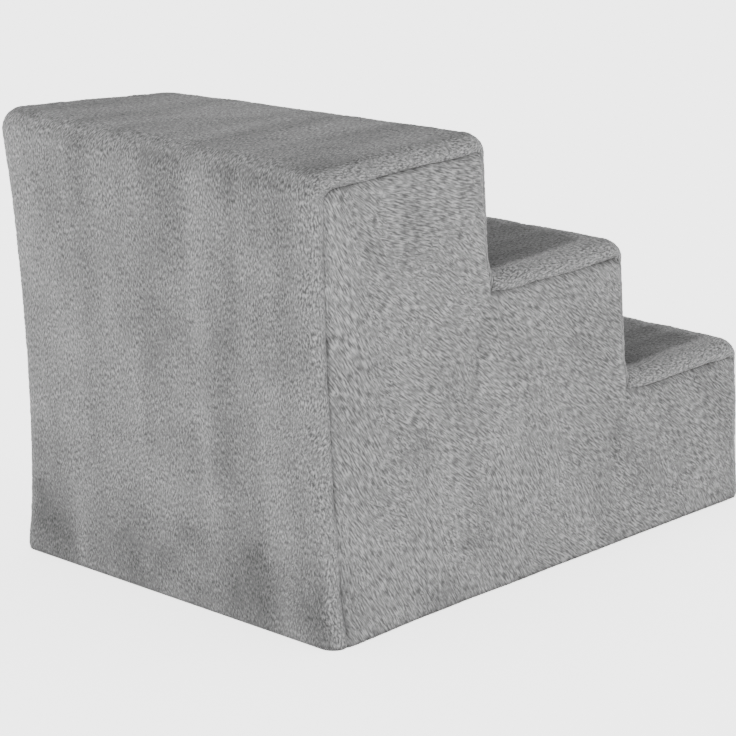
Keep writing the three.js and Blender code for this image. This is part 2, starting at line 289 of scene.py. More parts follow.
def soften(points):
    """Moves points of the boxy shape to where the stuffed cover really lies."""
    x, y, z = points.T
    side = y / SIDE_Y
    left = (side * 0.5 + 0.5).clip(0, 1)
    across = 1 - side**4
    rear = near(x, REAR_X, 60 * MM)
    moved = points.copy()
    # Faces crown a little between their edges.
    moved[:, 0] -= FACE_CROWN * near(x, REAR_X, 25 * MM) * across * bump(z, 0, HEIGHT)
    steps = [x < UPPER_RISER_X, x < MIDDLE_RISER_X]
    stair_top = np.select(steps, [HEIGHT, MIDDLE_TREAD_Z], LOWER_TREAD_Z)
    inside = bump(z, 0, stair_top) * bump(x, REAR_X, FRONT_X)
    moved[:, 1] += FACE_CROWN * np.sign(side) * np.abs(side) ** 6 * inside
    moved[:, 2] += TOP_CROWN * near(z, HEIGHT, 40 * MM) * bump(x, REAR_X, UPPER_RISER_X) * across
    # The rear's upright edges pull in at mid height and the toe bulges, most of all on the left.
    waist = WAIST * bump(z, 0.05 * HEIGHT, HEIGHT) - TOE_BULGE * near(z, 0, 22 * MM)
    loose = LEFT_WAIST * bump(z, 0.15 * HEIGHT, 0.95 * HEIGHT) - LEFT_TOE_BULGE * near(z, 0, 40 * MM)
    loose -= LEFT_TOP_BULGE * near(z, HEIGHT, 80 * MM)
    moved[:, 1] -= np.sign(side) * np.abs(side) ** 3 * (waist + loose * (side > 0)) * rear
    # The foam leans forward a little with height.
    moved[:, 0] += FORWARD_LEAN * z / HEIGHT
    # The top platform leans: its rear left corner stands higher, its front left corner lower.
    forward = ((x - REAR_X) / (UPPER_RISER_X - REAR_X)).clip(0, 1)
    lean = REAR_CORNER_RISE * (1 - forward) - FRONT_CORNER_DROP * forward
    moved[:, 2] += lean * left * (z / HEIGHT).clip(0, 1) ** 4
    # Seams and faces wander slightly, as sewn cloth does.
    off_floor = smoothstep(z, 0, 20 * MM)
    moved[:, 2] += 0.9 * MM * off_floor * fractal_noise((x + y) / 0.03, z / 0.09, 91, 2)
    moved[:, 0] += 0.7 * MM * off_floor * fractal_noise(z / 0.03, (x - y) / 0.09, 93, 2)
    moved[:, 1] += 0.8 * MM * fractal_noise(x / 0.05, z / 0.05, 95, 2)
    # A soft crease runs down from each inner corner, where the side cloth is pinched.
    for corner_x, corner_z in INNER_CORNERS:
        line = corner_x - 8 * MM - CREASE_SLOPE * (corner_z - z).clip(0, None)
        crease = near(x, line, CREASE_WIDTH) * bump(z, corner_z - 100 * MM, corner_z - 12 * MM)
        moved[:, 1] -= CREASE_DEPTH * side**7 * crease
    # The cloth spans the corner between a tread and the riser behind it.
    for corner_x, corner_z in INNER_CORNERS:
        apart = np.hypot(x - corner_x + RISER_SEAM_INSET / 2, z - corner_z + SEAM_INSET / 2)
        pull = INNER_FILLET * np.exp(-((apart / (16 * MM)) ** 2))
        moved[:, 0] += pull
        moved[:, 2] += pull
    return moved


# grids of the cover
def rounded_path(stops, radius, straight_steps, arc_steps):
    """Points along a right-angled path in X and Z whose inner stops are rounded corners."""
    stops = [np.array(stop, float) for stop in stops]
    ends = []
    for index, stop in enumerate(stops):
        if index in (0, len(stops) - 1):
            ends.append((stop, stop, None))
            continue
        back = stops[index - 1] - stop
        ahead = stops[index + 1] - stop
        back, ahead = back / np.linalg.norm(back), ahead / np.linalg.norm(ahead)
        ends.append((stop + back * radius, stop + ahead * radius, stop + (back + ahead) * radius))
    points = []
    for index in range(len(stops) - 1):
        start, finish = ends[index][1], ends[index + 1][0]
        t = np.arange(straight_steps[index]) / straight_steps[index]
        points.append(start + (finish - start) * t[:, None])
        centre = ends[index + 1][2]
        if centre is None:
            continue
        first, last = ends[index + 1][0] - centre, ends[index + 1][1] - centre
        angle = (np.pi / 2) * np.arange(arc_steps)[:, None] / arc_steps
        points.append(centre + first * np.cos(angle) + last * np.sin(angle))
    points.append(stops[-1][None, :])
    return np.concatenate(points)


def edge_section(seam_inset, steps):
    """How far in, and at which Y, the cloth lies from the seam round the side edge to the flat."""
    radius = SIDE_EDGE_RADIUS
    flat = max(seam_inset - radius, 0)
    start_angle = math.asin(1 - min(seam_inset, radius) / radius)
    arc_length = radius * (math.pi / 2 - start_angle)
    run = np.linspace(0, flat + arc_length, steps + 1)
    angle = start_angle + (run - flat).clip(0, None) / radius
    inset = np.where(run < flat, seam_inset - run, radius * (1 - np.sin(angle)))
    y = np.where(run < flat, SIDE_Y, SIDE_Y - radius * (1 - np.cos(angle)))
    return inset, y, run


def band_grid(stops_at, riser_weight, step):
    """Positions, cloth coordinates and distance to the side seams of one panel of the cover's band.

    stops_at(i, j) gives the panel's path for an inset of i from the treads and j from the risers.
    riser_weight says, for each stop, whether the cloth after it lies on a riser.
    """
    stops = stops_at(0, 0)
    spans = [np.abs(np.subtract(b, a)).sum() for a, b in zip(stops, stops[1:])]
    straight_steps = [max(2, round(span / step)) for span in spans]
    arc_steps = max(4, round(NOSE_RADIUS * math.pi / 2 / step))
    edge_steps = round((SEAM_INSET - SIDE_EDGE_RADIUS + SIDE_EDGE_RADIUS * math.pi / 2) / step)
    tread_inset, tread_y, tread_run = edge_section(SEAM_INSET, edge_steps)
    riser_inset, riser_y, _ = edge_section(RISER_SEAM_INSET, edge_steps)
    flat_y = SIDE_Y - SIDE_EDGE_RADIUS
    flat_steps = round(2 * flat_y / step)
    flat = np.linspace(flat_y, -flat_y, flat_steps + 1)[1:-1]
    zeros = np.zeros(len(flat))
    inset_i = np.concatenate([tread_inset, zeros, tread_inset[::-1]])
    inset_j = np.concatenate([riser_inset, zeros, riser_inset[::-1]])
    y_tread = np.concatenate([tread_y, flat, -tread_y[::-1]])
    y_riser = np.concatenate([riser_y, flat, -riser_y[::-1]])
    columns = []
    for i, j in zip(inset_i, inset_j):
        radius = max(NOSE_RADIUS - i, SEAM_CORNER_RADIUS)
        columns.append(rounded_path(stops_at(i, j), radius, straight_steps, arc_steps))
    path = np.stack(columns, axis=1)
    weight = []
    for index, on_riser in enumerate(riser_weight):
        weight.append(np.full(straight_steps[index], float(on_riser)))
        if index < len(riser_weight) - 1:
            turn = np.arange(arc_steps) / arc_steps
            weight.append(on_riser + (riser_weight[index + 1] - on_riser) * turn)
    weight = np.concatenate([*weight, [float(riser_weight[-1])]])
    middle = path[:, len(inset_i) // 2]
    along = np.concatenate([[0], np.cumsum(np.linalg.norm(np.diff(middle, axis=0), axis=1))])
    for stop, distance in ((stops[0], along), (stops[-1], along[-1] - along)):
        if stop[1] > 0:
            weight += (0.5 - weight) * near(distance, 0, FOOT_REACH)
    weight = weight[:, None]
    y = y_tread * (1 - weight) + y_riser * weight
    positions = np.stack([path[..., 0], y, path[..., 1]], axis=-1)
    half_run = tread_run[-1] + flat_y
    run = np.concatenate([tread_run, half_run - flat, 2 * half_run - tread_run[::-1]])
    cloth = np.stack(np.broadcast_arrays(run[None, :], along[:, None]), axis=-1)
    return positions, cloth


def grid_faces(rows, columns):
    index = np.arange(rows * columns).reshape(rows, columns)
    corners = [index[:-1, :-1], index[1:, :-1], index[1:, 1:], index[:-1, 1:]]
    return np.stack([corner.ravel() for corner in corners], axis=1)


def grid_normals(positions):
    du = np.gradient(positions, axis=0)
    dv = np.gradient(positions, axis=1)
    normal = np.cross(dv, du)
    return normal / np.maximum(np.linalg.norm(normal, axis=-1, keepdims=True), 1e-9)


# meshes
def mesh_object(name, vertices, faces, uv=None, values=None):
    """An object from arrays; uv and values are one row or number for each vertex."""
    mesh = bpy.data.meshes.new(name)
    faces = np.asarray(faces)
    mesh.vertices.add(len(vertices))
    mesh.vertices.foreach_set("co", np.asarray(vertices, np.float32).ravel())
    mesh.loops.add(faces.size)
    mesh.loops.foreach_set("vertex_index", faces.astype(np.int32).ravel())
    mesh.polygons.add(len(faces))
    mesh.polygons.foreach_set("loop_start", np.arange(0, faces.size, faces.shape[1], dtype=np.int32))
    mesh.update(calc_edges=True)
    mesh.polygons.foreach_set("use_smooth", np.ones(len(faces), bool))
    if uv is not None:
        layer = mesh.uv_layers.new(name="cloth")
        layer.data.foreach_set("uv", np.asarray(uv, np.float32)[faces.ravel()].ravel())
    for key, value in (values or {}).items():
        layer = mesh.attributes.new(key, "FLOAT", "POINT")
        layer.data.foreach_set("value", np.asarray(value, np.float32))
    mesh.validate()
    return add_object(name, mesh)


def seam_dip(distance, positions):
    """How far the cloth is drawn in by a seam that lies this far away."""
    x, y, z = np.moveaxis(positions, -1, 0)
    pull = 1 + 0.3 * fractal_noise((x + y) / 0.016, z / 0.016, 81, 2)
    return SEAM_DEPTH * pull * np.exp(-((distance / SEAM_WIDTH) ** 2))


def band_panel(name, stops_at, riser_weight, step, nap_seed):
    """One panel of the band: a closed sheet with its pile raised on the outside."""
    positions, cloth = band_grid(stops_at, riser_weight, step)
    rows, columns, _ = positions.shape
    soft = soften(positions.reshape(-1, 3)).reshape(positions.shape)
    normals = grid_normals(soft)
    run, along = cloth[..., 0], cloth[..., 1]
    to_side_seam = np.minimum(run, run[:, -1:] - run)
    to_ends = (along, along[-1:, :] - along)
    dip = seam_dip(to_side_seam, positions)
    pile = tufts(run, along, lambda u, v: band_nap(u, v, nap_seed), nap_seed)
    fade = np.minimum(1, np.minimum(*to_ends) / END_FADE)
    fade = fade * np.minimum(1, to_side_seam / SEAM_FADE + SEAM_PILE)
    outer = soft + normals * (PILE_HEIGHT * pile * fade - dip)[..., None]
    # The inside keeps only some of the columns, most of them near the side edges.
    spread = np.linspace(0, columns - 1, INNER_COLUMNS).round().astype(int)
    by_edge = np.searchsorted(run[0], np.arange(1, 5) * 6 * MM)
    keep = np.unique(np.concatenate([spread, by_edge, columns - 1 - by_edge]))
    inner = (soft - normals * (CLOTH_THICKNESS + dip * 0.5)[..., None])[:, keep]
    vertices = np.concatenate([outer.reshape(-1, 3), inner.reshape(-1, 3)])
    outer_faces = grid_faces(rows, columns)
    offset = rows * columns
    inner_faces = grid_faces(rows, len(keep))[:, ::-1] + offset
    out_index = np.arange(offset).reshape(rows, columns)
    in_index = np.arange(rows * len(keep)).reshape(rows, len(keep)) + offset
    rims = [
        np.stack([out_index[1:, 0], out_index[:-1, 0], in_index[:-1, 0], in_index[1:, 0]], axis=1),
        np.stack([out_index[:-1, -1], out_index[1:, -1], in_index[1:, -1], in_index[:-1, -1]], axis=1),
    ]
    quads = [outer_faces, inner_faces, *rims]
    # An end on the floor is a hem; the others are seams, which get painted shade but aren't drawn in.
    shade = dip
    for row, to_end in zip((0, -1), to_ends):
        if positions[row, 0, 2] > MM:
            shade = np.maximum(shade, seam_dip(to_end, positions))
    # Painted shade in the seam grooves, darkest where the cloth is drawn in deepest.
    tone = band_tone(positions, normals, nap_seed) * (1 - SEAM_SHADE * (shade / SEAM_DEPTH) ** 3)

    def both(outside, inside):
        return np.concatenate([outside.ravel(), np.full(in_index.size, inside)])

    nap = band_nap(run, along, nap_seed)
    values = {"pile": both(pile, 0.0), "tone": both(tone, INSIDE_TONE), "nap": both(nap, 0.0)}
    uv = np.concatenate([cloth.reshape(-1, 2), cloth[:, keep].reshape(-1, 2)])
    piece = mesh_object(name, vertices, np.concatenate(quads), uv, values)
    close_ends(piece, out_index, in_index, keep)
    return piece, (run[0, -1], along[-1, 0]), None


def close_ends(piece, out_index, in_index, kept):
    """Fills the two end rims, where the inside has only the kept ones of the outside's columns."""
    mesh = bmesh.new()
    mesh.from_mesh(piece.data)
    mesh.verts.ensure_lookup_table()
    for row, winding in ((0, 1), (-1, -1)):
        outer = [mesh.verts[i] for i in out_index[row]]
        inner = [mesh.verts[i] for i in in_index[row]]
        for k, (first, last) in enumerate(zip(kept, kept[1:])):
            middle = (first + last) // 2
            faces = [
                (outer[j], outer[j + 1], inner[k if j < middle else k + 1])
                for j in range(first, last)]
            faces.append((outer[middle], inner[k + 1], inner[k]))
            for face in faces:
                mesh.faces.new(face[::winding])
    mesh.to_mesh(piece.data)
    mesh.free()


def back_top_stops(i, j):
    return [(REAR_X + i, 0), (REAR_X + i, HEIGHT - i), (UPPER_RISER_X - j, HEIGHT - i),
            (UPPER_RISER_X - j, MIDDLE_TREAD_Z - i)]


def middle_stops(i, j):
    return [(UPPER_RISER_X - j, MIDDLE_TREAD_Z - i), (MIDDLE_RISER_X - j, MIDDLE_TREAD_Z - i),
            (MIDDLE_RISER_X - j, LOWER_TREAD_Z - i)]


def lower_stops(i, j):
    return [(MIDDLE_RISER_X - j, LOWER_TREAD_Z - i), (FRONT_X - j, LOWER_TREAD_Z - i), (FRONT_X - j, 0)]


# Painted shade along the floor: the cover darkens over its lowest few millimetres.
def hem_painted_shade(z):
    return 1 - HEM_SHADE * near(z, 0, HEM_HEIGHT)


def rear_tone(y, z, blotches, seed):
    """The rear face: brushed stripes and blotches, with painted shade by the toe and a painted highlight
    at the right edge.
    """
    stripes = fractal_noise(y / BRUSH_WIDTH, z / 0.35, seed + 61)
    # Painted shade along the toe, deeper where the blotches are.
    toe = near(z, 0.028 + 0.022 * blotches, 0.045) * (0.75 + 0.9 * blotches).clip(0, 1.4)
    # Painted highlight down the rounded right corner.
    light = PAINTED_CORNER_HIGHLIGHT * near(y, -SIDE_Y, 45 * MM) - TOE_SHADE * toe
    return REAR_TONE + light + STRIPES * stripes + BLOTCHES * blotches


def tread_tone(x, y, blotches):
    """A tread: dark, partly from its nap and partly as painted shade, but for its nosing and a strip
    along each side.
    """
    riser = np.where(x < MIDDLE_RISER_X, UPPER_RISER_X, MIDDLE_RISER_X)
    front = np.where(x < MIDDLE_RISER_X, MIDDLE_RISER_X, FRONT_X)
    ahead = front - x - 8 * MM * blotches
    beside = SIDE_Y - np.abs(y) - SIDE_EDGE_RADIUS - 12 * MM * (x - riser) / (front - riser)
    dark = smoothstep(ahead, 14 * MM, 34 * MM) * smoothstep(beside, -4 * MM, 6 * MM)
    # Painted shade: each tread darkens further towards the riser behind it.
    deep = TREAD_TONE * (1 - 0.2 * near(x, riser, 60 * MM))
    return NOSE_TONE + (deep - NOSE_TONE) * dark


def band_tone(positions, normals, seed):
    """How light the brushed pile looks: 1 on plain plush, less on the top and treads, partly where their
    nap turns away and partly as painted shade.
    """
    x, y, z = np.moveaxis(positions, -1, 0)
    on_rear = smoothstep(-normals[..., 0], 0.6, 0.95)
    on_flat = smoothstep(normals[..., 2], 0.72, 0.93)
    blotches = fractal_noise(y / BRUSH_WIDTH, z / 0.035, seed + 67)
    brushed = fractal_noise(x / 0.11 + 0.3 * y / BRUSH_WIDTH, y / 0.025, seed + 71)
    upright = 1 + (rear_tone(y, z, blotches, seed) - 1) * on_rear
    # Upward faces are darker, partly from their nap and partly as painted shade.
    flat = np.where(x < UPPER_RISER_X, TOP_TONE, tread_tone(x, y, blotches)) * (1 + TOP_BRUSH * brushed)
    return (upright * (1 - on_flat) + flat * on_flat).clip(0.3, 1.4) * hem_painted_shade(z)


def side_tone(x, z, seed):
    """How light a side panel looks, with soft brushed marks, painted shade towards the front end and
    painted shade down the creases.
    """
    marks = fractal_noise((x + 0.5 * z) / BRUSH_WIDTH, (z - 0.5 * x) / 0.08, seed + 61)
    smudges = (fractal_noise(x / 0.05, z / 0.05, seed + 63) - 0.45).clip(0, 1)
    # Painted shade: the side darkens towards its front end.
    front = smoothstep(x, -100 * MM, FRONT_X)
    tone = SIDE_TONE + SIDE_MARKS * marks - SMUDGES * smudges - FRONT_SHADE * front
    # Painted shade down the soft crease below each inner corner.
    for corner_x, corner_z in INNER_CORNERS:
        line = corner_x - 10 * MM - CREASE_SLOPE * (corner_z - z).clip(0, None)
        crease = near(x, line, 8 * MM) * bump(z, corner_z - 95 * MM, corner_z - 15 * MM)
        tone = tone - CREASE_SHADE * crease * (0.8 + marks)
    return tone * hem_painted_shade(z)


def side_nap(x, z):
    """The side pile's direction, from straight down by the rear seam to nearly forward at the top."""
    from_rear = ((x - REAR_X) / (90 * MM)).clip(0, 1)
    height = (z / HEIGHT).clip(0, 1)
    wander = 0.22 * smooth_noise(x / 0.05, z / 0.05, 77)
    return math.radians(10) + from_rear * (math.radians(30) + math.radians(28) * height**2) + wander


def band_nap(run, along, seed):
    """The band's pile lies along it, and wanders to either side."""
    return math.radians(30) * fractal_noise(run / 0.06, along / 0.06, seed + 5, 2)


def side_lines(step):
    """The side panel's grid lines in X and Z, which follow its stair outline."""
    x_marks = [REAR_X + SEAM_INSET, UPPER_RISER_X - RISER_SEAM_INSET,
               MIDDLE_RISER_X - RISER_SEAM_INSET, FRONT_X - RISER_SEAM_INSET]
    z_marks = [0, LOWER_TREAD_Z - SEAM_INSET, MIDDLE_TREAD_Z - SEAM_INSET, HEIGHT - SEAM_INSET]

    def lines(marks):
        counts = [max(2, round((b - a) / step)) for a, b in zip(marks, marks[1:])]
        parts = [np.linspace(a, b, n + 1)[:-1] for a, b, n in zip(marks, marks[1:], counts)]
        return np.concatenate([*parts, [marks[-1]]])

    return lines(x_marks), lines(z_marks), x_marks, z_marks


def round_corner(x, z, corner_x, corner_z, direction):
    """Bends the grid's square corner round an arc, keeping its lines."""
    radius = SEAM_CORNER_RADIUS
    a = (x - (corner_x - direction * radius)) * direction / radius
    b = (z - (corner_z - radius)) / radius
    hit = (np.minimum(a, b) >= 0) & (np.maximum(a, b) <= 1 + 1e-4)
    ra, rb = a * np.sqrt((1 - b * b / 2).clip(0)), b * np.sqrt((1 - a * a / 2).clip(0))
    x[hit] = (corner_x - direction * radius + direction * radius * ra)[hit]
    z[hit] = (corner_z - radius + radius * rb)[hit]


def riser_margin(x, z, riser_x, foot_z):
    """How far the side panel turns in beside a riser; it eases off round the riser's foot."""
    gap = (riser_x - x).clip(0, None) + RISER_SEAM_INSET
    arc = (1 - gap / SIDE_EDGE_RADIUS).clip(0, 1)
    ease = near(z, foot_z, FOOT_REACH) / 2
    ease = np.where(z >= foot_z, 1 - ease, ease) * near((x - riser_x).clip(0, None), 0, FOOT_REACH)
    return SIDE_EDGE_RADIUS * (1 - np.sqrt(1 - arc**2)) * ease


def side_seam_distance(x, z, x_marks, z_marks):
    """How far each grid point lies from the side panel's own seam, which isn't on the floor."""
    top = np.select([x <= x_marks[1], x <= x_marks[2]], [z_marks[3], z_marks[2]], z_marks[1])
    risers = risers_of(x_marks, z_marks)
    to_risers = [np.where(z >= foot - 1e-6, np.abs(mark - x), 1.0) for mark, foot in risers]
    to_feet = [np.hypot(x - mark, z - foot) for mark, foot in risers[:2]]
    return np.minimum.reduce([np.abs(top - z), x - x_marks[0], *to_risers, *to_feet])


def risers_of(x_marks, z_marks):
    """Where each riser's seam stands in X, and the height of its foot; the last one has no foot."""
    return list(zip(x_marks[1:], (z_marks[2], z_marks[1], -1.0)))


def side_panel(name, sign, step, nap_seed):
    """A stair-shaped side panel; sign is -1 for the right side and 1 for the left."""
    xs, zs, x_marks, z_marks = side_lines(step)
    grid_x, grid_z = np.meshgrid(xs, zs, indexing="ij")
    cell_x, cell_z = (xs[:-1] + xs[1:]) / 2, (zs[:-1] + zs[1:]) / 2
    tops = np.select([cell_x < x_marks[1], cell_x < x_marks[2]], [z_marks[3], z_marks[2]], z_marks[1])
    solid = cell_z[None, :] < tops[:, None]
    distance = side_seam_distance(grid_x, grid_z, x_marks, z_marks)
    x, z = grid_x.copy(), grid_z.copy()
    round_corner(x, z, x_marks[0], z_marks[3], -1)
    for mark, level in zip(x_marks[1:], z_marks[:0:-1]):
        round_corner(x, z, mark, level, 1)
    # On the risers the seam lies just round the edge, so the panel's margin follows the edge's arc.
    y_in = np.maximum.reduce([
        riser_margin(grid_x, grid_z, mark, foot) for mark, foot in risers_of(x_marks, z_marks)])
    flat = np.stack([x, sign * (SIDE_Y - y_in), z], axis=-1)
    soft = soften(flat.reshape(-1, 3)).reshape(flat.shape)
    normals = grid_normals(soft) * sign
    pile = tufts(x, -z, lambda u, v: side_nap(u, -v), nap_seed)
    dip = seam_dip(distance, flat)
    # The tone holds painted shade in the seam grooves.
    values = {
        "pile": pile,
        "tone": side_tone(x, z, nap_seed) * (1 - SEAM_SHADE * (dip / SEAM_DEPTH) ** 3),
        "nap": side_nap(x, z),
    }
    fade = np.minimum(1, distance / SEAM_FADE + SEAM_PILE)
    outer = soft + normals * (PILE_HEIGHT * pile * fade - dip)[..., None]
    # The plain inner face doesn't follow the toe's bulge, so it starts from behind it.
    toe = TOE_DEPTH * near(x, REAR_X, 60 * MM) * near(z, 0, 22 * MM)
    inner = soft - normals * (CLOTH_THICKNESS + dip * 0.5 + toe)[..., None]
    piece = closed_side(name, sign, solid, outer, inner, np.stack([x, -z], axis=-1), values)
    depths, levels = np.diff(x_marks), z_marks[:0:-1]
    area = sum(depth * level for depth, level in zip(depths, levels))
    return piece, (x_marks[-1] - x_marks[0], z_marks[-1]), area


def closed_side(name, sign, solid, outer, inner, cloth, values):
    """The panel as a closed sheet, with a plain inner face filled from its outline."""
    columns = outer.shape[1]
    cell_i, cell_j = np.nonzero(solid)
    first = cell_i * columns + cell_j
    faces = np.stack([first, first + columns, first + columns + 1, first + 1], axis=1)
    if sign > 0:
        faces = faces[:, ::-1]
    used, packed = np.unique(faces, return_inverse=True)
    faces = packed.reshape(faces.shape)
    values = {key: value.ravel()[used] for key, value in values.items()}
    piece = mesh_object(name, outer.reshape(-1, 3)[used], faces, cloth.reshape(-1, 2)[used], values)
    inside = inner.reshape(-1, 3)[used]
    mesh = bmesh.new()
    mesh.from_mesh(piece.data)
    mesh.verts.ensure_lookup_table()
    border = [edge for edge in mesh.edges if edge.is_boundary]
    copies = {}
    for edge in border:
        for vert in edge.verts:
            if vert not in copies:
                copies[vert] = mesh.verts.new(inside[vert.index])
    for edge in border:
        face = edge.link_faces[0]
        a = [loop.vert for loop in face.loops if loop.edge == edge][0]
        b = edge.other_vert(a)
        mesh.faces.new((b, a, copies[a], copies[b]))
    back_edges = [mesh.edges.get((copies[e.verts[0]], copies[e.verts[1]])) for e in border]
    bmesh.ops.triangle_fill(mesh, edges=back_edges, use_beauty=False)
    bmesh.ops.recalc_face_normals(mesh, faces=mesh.faces)
    mesh.to_mesh(piece.data)
    mesh.free()
    return piece


# foam
def block_surface(low, high, step):
    """Points and quads of a block's six faces, cut up evenly."""
    counts = np.maximum(2, np.round((high - low) / step)).astype(int)
    points, quads, total = [], [], 0
    for axis in range(3):
        a, b = (axis + 1) % 3, (axis + 2) % 3
        u = np.linspace(low[a], high[a], counts[a] + 1)
        v = np.linspace(low[b], high[b], counts[b] + 1)
        for place, winding in ((low[axis], -1), (high[axis], 1)):
            grid = np.empty((len(u), len(v), 3))
            grid[..., axis] = place
            grid[..., a] = u[:, None]
            grid[..., b] = v[None, :]
            points.append(grid.reshape(-1, 3))
            quads.append(grid_faces(len(u), len(v))[:, ::winding] + total)
            total += grid.shape[0] * grid.shape[1]
    points, packed = np.unique(np.concatenate(points).round(7), axis=0, return_inverse=True)
    return points, packed.reshape(-1)[np.concatenate(quads)]


def foam_slab(name, node, seed, step):
    """A foam slab softened as the cover is, with a cut-foam surface and a groove over the zip."""
    low, high = (np.array(corner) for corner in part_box(node))
    points, quads = block_surface(low, high, step)
    on_bottom = points[:, 2] < low[2] + 1e-6
    over_zip = np.abs(outside_zip(points[:, 0], points[:, 1])) < TAPE_FAR + 1.5 * step
    over_zip &= points[:, 0] < TAPE_FRONT_X + GROOVE_AHEAD
    points = round_box(points, low, high, NOSE_RADIUS - FOAM_INSET * 0.5)
    soft = soften(points)
    x, y, z = points.T / FOAM_LUMPS
    lumps = fractal_noise(x + z, y + z, seed)
    soft += 0.4 * MM * lumps[:, None] * np.sign((low + high) / 2 - points)
    grooved = on_bottom & over_zip
    soft[grooved, 2] = np.maximum(soft[grooved, 2], TAPE_TOP + MM)
    return mesh_object(name, soft, quads)


def round_box(points, low, high, radius):
    """Rounds the upper and upright edges of a block's surface points."""
    inner_low = low + radius
    inner_high = high - radius
    inner_low[2] = low[2]
    core = np.clip(points, inner_low, inner_high)
    offset = points - core
    length = np.linalg.norm(offset, axis=1, keepdims=True)
    reach = np.maximum(np.abs(offset).max(axis=1, keepdims=True), 1e-9)
    return core + offset * np.minimum(1, reach / np.maximum(length, 1e-9))


# zip
def zip_path(front_x, step):
    """Points and outward directions in plan from the zip's right end to its left, and its length."""
    corner_x, corner_y = ZIP_REAR_X + ZIP_CORNER_RADIUS, ZIP_SIDE_Y - ZIP_CORNER_RADIUS
    side, turn, rear = front_x - corner_x, ZIP_CORNER_RADIUS * math.pi / 2, 2 * corner_y
    length = 2 * side + 2 * turn + rear
    at = np.linspace(0, length, round(length / step) + 1)
    turns = ((at - side) / turn).clip(0, 1) + ((at - side - turn - rear) / turn).clip(0, 1)
    angle = -math.pi / 2 * (1 + turns)
    outward = np.stack([np.cos(angle), np.sin(angle)], axis=-1)
    centre_x = corner_x + (side - at).clip(0, None) + (at - length + side).clip(0, None)
    centre_y = (at - side - turn).clip(0, rear) - corner_y
    return np.stack([centre_x, centre_y], axis=-1) + ZIP_CORNER_RADIUS * outward, outward, length


def zip_tape(name, sign):
    """One tape of the zip: a thin woven strip with a slight ripple."""
    line, outward, length = zip_path(TAPE_FRONT_X, TAPE_STEP)
    offsets = sign * np.linspace(TAPE_NEAR, TAPE_FAR, TAPE_ROWS + 1)
    middle = (TAPE_BOTTOM + TAPE_TOP) / 2
    half = (TAPE_TOP - TAPE_BOTTOM) / 2
    x = line[:, None, 0] + outward[:, None, 0] * offsets
    y = line[:, None, 1] + outward[:, None, 1] * offsets
    ripple = 0.15 * MM * smooth_noise(x / 0.02, y / 0.02, 101)
    top = np.stack([x, y, middle + half + ripple], axis=-1)
    bottom = np.stack([x, y, middle - half + ripple], axis=-1)
    rows, columns = x.shape
    index = np.arange(rows * columns).reshape(rows, columns)
    offset = rows * columns
    border = np.concatenate([index[0, :], index[1:, -1], index[-1, -2::-1], index[-2:0:-1, 0]])
    following = np.roll(border, -1)
    rim = np.stack([border, following, following + offset, border + offset], axis=1)
    faces = grid_faces(rows, columns)
    faces = np.concatenate([faces, faces[:, ::-1] + offset, rim[:, ::-1]])
    along = np.linspace(0, length, rows)
    cloth = np.stack(np.broadcast_arrays(offsets, along[:, None]), axis=-1).reshape(-1, 2)
    vertices = np.concatenate([top.reshape(-1, 3), bottom.reshape(-1, 3)])
    piece = mesh_object(name, vertices, faces, np.concatenate([cloth, cloth]))
    face_out(piece)
    return piece, (TAPE_FAR - TAPE_NEAR, length)


def face_out(piece):
    """Turns a closed piece's faces outwards."""
    mesh = bmesh.new()
    mesh.from_mesh(piece.data)
    bmesh.ops.recalc_face_normals(mesh, faces=mesh.faces)
    mesh.to_mesh(piece.data)
    mesh.free()


def zip_coil(name, sign):
    """One coil: a nylon monofilament wound in flattened turns, whose heads reach between the other's."""
    step = COIL_PITCH / COIL_TURN_STEPS
    line, outward, _ = zip_path(ZIP_FRONT_X, step)
    turn = 2 * math.pi * np.arange(len(line)) / COIL_TURN_STEPS + (math.pi if sign > 0 else 0)
    reach = (COIL_FAR + COIL_HEAD) / 2 - COIL_WIRE
    centre = sign * ((COIL_FAR - COIL_HEAD) / 2)
    swing = centre - sign * reach * np.cos(turn)
    rise = ((COIL_TOP - COIL_BOTTOM) / 2 - COIL_WIRE) * np.sin(turn)
    spine = np.column_stack([
        line[:, 0] + outward[:, 0] * swing,
        line[:, 1] + outward[:, 1] * swing,
        (COIL_TOP + COIL_BOTTOM) / 2 + rise,
    ])
    return wire(name, spine, COIL_WIRE)


def wire(name, spine, radius):
    """A closed four-sided wire along a row of points."""
    forward = np.gradient(spine, axis=0)
    forward /= np.linalg.norm(forward, axis=1, keepdims=True)
    across = np.cross(forward, [0, 0, 1.0])
    across /= np.maximum(np.linalg.norm(across, axis=1, keepdims=True), 1e-9)
    upward = np.cross(across, forward)
    angle = math.pi / 2 * np.arange(4)
    ring = across[:, None] * np.cos(angle)[:, None] + upward[:, None] * np.sin(angle)[:, None]
    vertices = (spine[:, None] + radius * ring).reshape(-1, 3)
    index = np.arange(len(vertices)).reshape(-1, 4)
    around = np.roll(index, -1, axis=1)
    quads = np.stack([index[:-1], index[1:], around[1:], around[:-1]], axis=-1).reshape(-1, 4)
    piece = mesh_object(name, vertices, np.concatenate([quads, index[:1, ::-1], index[-1:]]))
    face_out(piece)
    return piece


# base
def outside_zip(x, y):
    """How far a point in plan lies outside the zip's line; negative inside it."""
    corner_x, corner_y = ZIP_REAR_X + ZIP_CORNER_RADIUS, ZIP_SIDE_Y - ZIP_CORNER_RADIUS
    by_side = np.abs(y) - ZIP_SIDE_Y
    from_corner = np.hypot(np.minimum(x - corner_x, 0), np.maximum(np.abs(y) - corner_y, 0))
    return np.where(x > corner_x, by_side, from_corner - ZIP_CORNER_RADIUS)


